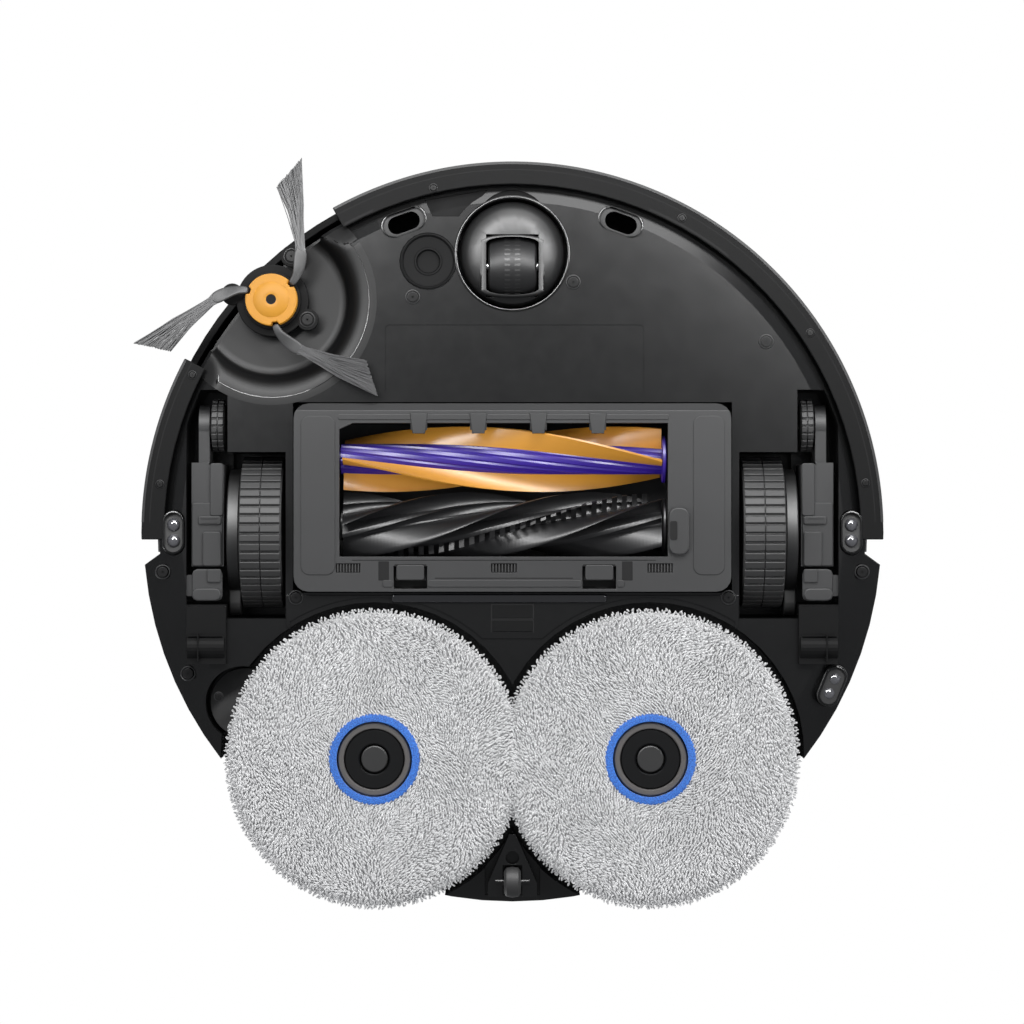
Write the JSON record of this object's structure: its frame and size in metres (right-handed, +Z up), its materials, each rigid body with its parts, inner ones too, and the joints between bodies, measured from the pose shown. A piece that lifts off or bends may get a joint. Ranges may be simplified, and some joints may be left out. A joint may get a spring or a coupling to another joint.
{
  "type": "robot vacuum cleaner",
  "caption": "Round floor-cleaning robot with a rubber-roller head, sprung drive wheels, climbing legs, an extending side brush, spinning mop pads and a rising lidar turret.",
  "frame": {"origin": "centre of the body on the floor that the wheels stand on", "axes": "+Z up, -Y towards the front bumper, +X towards the robot's left side"},
  "size_m": [0.3527, 0.3506, 0.0893],
  "materials": {
    "body_shell": "fine satin",
    "deck": "satin gloss",
    "grey_frame": "matte",
    "inner_black": "matte",
    "window": "gloss",
    "bin": "smoked translucent",
    "tyre": "ribbed rubber",
    "roller_wheel": "matte",
    "gold_rubber": "matte rubber",
    "purple_core": "satin",
    "black_rubber": "matte rubber",
    "bristle": "nylon bristle",
    "mop_cloth": "looped pile",
    "steel": "brushed",
    "board": "satin",
    "cells": "film wrap"
  },
  "bodies": {
    "chassis": {"chassis_base": "body_shell", "top_shell": "deck", "dust_bin": "bin", "duct_seal": "inner_black", "water_tank": "bin", "battery_pack": "cells", "main_board": "board", "suction_fan": "inner_black", "cliff_sensor_left": "window", "cliff_sensor_right": "window", "cliff_sensor_rear": "window", "carpet_sensor": "inner_black", "rear_wheel_bracket": "body_shell", "leg_motor_cover_left": "body_shell", "leg_motor_cover_right": "body_shell", "mop_gearbox_left": "inner_black"},
    "bumper_body": {"bumper": "body_shell", "sensor_window": "window"},
    "lid_body": {"lid": "deck"},
    "caster": {"caster_housing": "body_shell", "caster_axle": "steel"},
    "caster_roller": {"caster_wheel": "roller_wheel"},
    "rear_roller_wheel": {"rear_wheel": "roller_wheel"},
    "side_brush_lever": {"side_brush_arm": "body_shell"},
    "side_brush": {"side_brush_hub": "gold_rubber", "side_brush_bristles_1": "bristle", "side_brush_bristles_2": "bristle", "side_brush_bristles_3": "bristle"},
    "head": {"head_housing": "inner_black", "roller_motor": "steel"},
    "guard": {"brush_guard": "grey_frame"},
    "guard_latch_right": {"latch_right": "grey_frame"},
    "guard_latch_left": {"latch_left": "grey_frame"},
    "front_roller": {"front_roller_core": "purple_core", "front_roller_fins": "gold_rubber", "front_roller_gear": "grey_frame"},
    "rear_roller": {"rear_roller_core": "black_rubber", "rear_roller_fins": "black_rubber", "rear_roller_gear": "grey_frame"},
    "mop_swing": {"mop_arm": "inner_black"},
    "lidar_lifter": {"lidar_turret": "inner_black"},
    "lidar_head": {"lidar_rotor": "window"},
    "power_key": {"power_button": "grey_frame"},
    "home_key": {"home_button": "grey_frame"},
    "suspension_left": {"suspension_arm_left": "inner_black"},
    "drive_wheel_left": {"wheel_hub_left": "inner_black", "tyre_left": "tyre"},
    "leg_left": {"leg_arm_left": "grey_frame"},
    "leg_roller_left": {"leg_wheel_left": "tyre"},
    "mop_lift_left": {"mop_shaft_left": "steel"},
    "mop_left": {"mop_plate_left": "inner_black", "mop_pad_left": "mop_cloth"},
    "suspension_right": {"suspension_arm_right": "inner_black"},
    "drive_wheel_right": {"wheel_hub_right": "inner_black", "tyre_right": "tyre"},
    "leg_right": {"leg_arm_right": "grey_frame"},
    "leg_roller_right": {"leg_wheel_right": "tyre"},
    "mop_lift_right": {"mop_shaft_right": "steel"},
    "mop_right": {"mop_plate_right": "inner_black", "mop_pad_right": "mop_cloth"}
  },
  "joints": [
    {"name": "bumper_press", "type": "slide", "parent": "chassis", "child": "bumper_body", "axis": [0, 1, 0], "range_m": [0, 0.004], "stiffness_N_per_m": 250},
    {"name": "lid_hinge", "type": "hinge", "parent": "chassis", "child": "lid_body", "pos_m": [0, 0.0075, 0.0893], "axis": [-1, 0, 0], "range_deg": [0, 80]},
    {"name": "caster_swivel", "type": "hinge", "parent": "chassis", "child": "caster", "pos_m": [0, -0.1315, 0.03], "axis": [0, 0, 1], "continuous": true},
    {"name": "caster_roll", "type": "hinge", "parent": "caster", "child": "caster_roller", "pos_m": [0, -0.1256, 0.0136], "axis": [1, 0, 0], "continuous": true},
    {"name": "rear_wheel_roll", "type": "hinge", "parent": "chassis", "child": "rear_roller_wheel", "pos_m": [0, 0.1645, 0.0075], "axis": [1, 0, 0], "continuous": true},
    {"name": "side_brush_extend", "type": "hinge", "parent": "chassis", "child": "side_brush_lever", "pos_m": [-0.081, -0.116, 0.018], "axis": [0, 0, 1], "range_deg": [0, 30]},
    {"name": "side_brush_spin", "type": "hinge", "parent": "side_brush_lever", "child": "side_brush", "pos_m": [-0.1134, -0.1096, 0.008], "axis": [0, 0, 1], "continuous": true},
    {"name": "head_float", "type": "slide", "parent": "chassis", "child": "head", "axis": [0, 0, 1], "range_m": [0, 0.008]},
    {"name": "guard_hinge", "type": "hinge", "parent": "head", "child": "guard", "pos_m": [0, -0.0609, 0.0085], "axis": [-1, 0, 0], "range_deg": [0, 45]},
    {"name": "latch_slide_right", "type": "slide", "parent": "guard", "child": "guard_latch_right", "axis": [0, 1, 0], "range_m": [0, 0.003], "stiffness_N_per_m": 150},
    {"name": "latch_slide_left", "type": "slide", "parent": "guard", "child": "guard_latch_left", "axis": [0, 1, 0], "range_m": [0, 0.003], "stiffness_N_per_m": 150},
    {"name": "front_roller_spin", "type": "hinge", "parent": "head", "child": "front_roller", "pos_m": [0, -0.0347, 0.0164], "axis": [1, 0, 0], "continuous": true},
    {"name": "rear_roller_spin", "type": "hinge", "parent": "head", "child": "rear_roller", "pos_m": [0, -0.0035, 0.0164], "axis": [1, 0, 0], "continuous": true},
    {"name": "mop_arm_extend", "type": "hinge", "parent": "chassis", "child": "mop_swing", "pos_m": [-0.1272, 0.0809, 0.031], "axis": [0, 0, 1], "range_deg": [0, 18]},
    {"name": "lidar_lift", "type": "slide", "parent": "chassis", "child": "lidar_lifter", "axis": [0, 0, 1], "range_m": [0, 0.022]},
    {"name": "lidar_spin", "type": "hinge", "parent": "lidar_lifter", "child": "lidar_head", "pos_m": [0, 0.072, 0.075], "axis": [0, 0, 1], "continuous": true},
    {"name": "power_button_press", "type": "slide", "parent": "chassis", "child": "power_key", "axis": [0, 0, -1], "range_m": [0, 0.0008], "stiffness_N_per_m": 400},
    {"name": "home_button_press", "type": "slide", "parent": "chassis", "child": "home_key", "axis": [0, 0, -1], "range_m": [0, 0.0008], "stiffness_N_per_m": 400},
    {"name": "suspension_left_hinge", "type": "hinge", "parent": "chassis", "child": "suspension_left", "pos_m": [0.1318, 0.033, 0.03], "axis": [1, 0, 0], "range_deg": [0, 25]},
    {"name": "drive_wheel_left_spin", "type": "hinge", "parent": "suspension_left", "child": "drive_wheel_left", "pos_m": [0.11865, 0, 0.036], "axis": [1, 0, 0], "continuous": true},
    {"name": "leg_left_swing", "type": "hinge", "parent": "chassis", "child": "leg_left", "pos_m": [0.144, 0, 0.034], "axis": [1, 0, 0], "range_deg": [0, 65]},
    {"name": "leg_wheel_left_spin", "type": "hinge", "parent": "leg_left", "child": "leg_roller_left", "pos_m": [0.1395, -0.0507, 0.026], "axis": [1, 0, 0], "continuous": true},
    {"name": "mop_lift_left_slide", "type": "slide", "parent": "chassis", "child": "mop_lift_left", "axis": [0, 0, 1], "range_m": [0, 0.01]},
    {"name": "mop_left_spin", "type": "hinge", "parent": "mop_lift_left", "child": "mop_left", "pos_m": [0.0648, 0.1063, 0.005], "axis": [0, 0, 1], "continuous": true},
    {"name": "suspension_right_hinge", "type": "hinge", "parent": "chassis", "child": "suspension_right", "pos_m": [-0.1318, 0.033, 0.03], "axis": [1, 0, 0], "range_deg": [0, 25]},
    {"name": "drive_wheel_right_spin", "type": "hinge", "parent": "suspension_right", "child": "drive_wheel_right", "pos_m": [-0.11865, 0, 0.036], "axis": [1, 0, 0], "continuous": true},
    {"name": "leg_right_swing", "type": "hinge", "parent": "chassis", "child": "leg_right", "pos_m": [-0.144, 0, 0.034], "axis": [1, 0, 0], "range_deg": [0, 65]},
    {"name": "leg_wheel_right_spin", "type": "hinge", "parent": "leg_right", "child": "leg_roller_right", "pos_m": [-0.1395, -0.0507, 0.026], "axis": [1, 0, 0], "continuous": true},
    {"name": "mop_lift_right_slide", "type": "slide", "parent": "mop_swing", "child": "mop_lift_right", "axis": [0, 0, 1], "range_m": [0, 0.01]},
    {"name": "mop_right_spin", "type": "hinge", "parent": "mop_lift_right", "child": "mop_right", "pos_m": [-0.0648, 0.1063, 0.005], "axis": [0, 0, 1], "continuous": true}
  ],
  "couplings": [
    {"joint": "rear_roller_spin", "follows": "front_roller_spin", "ratio": -1},
    {"joint": "mop_left_spin", "follows": "mop_right_spin", "ratio": -1},
    {"joint": "mop_lift_left_slide", "follows": "mop_lift_right_slide", "ratio": 1}
  ]
}
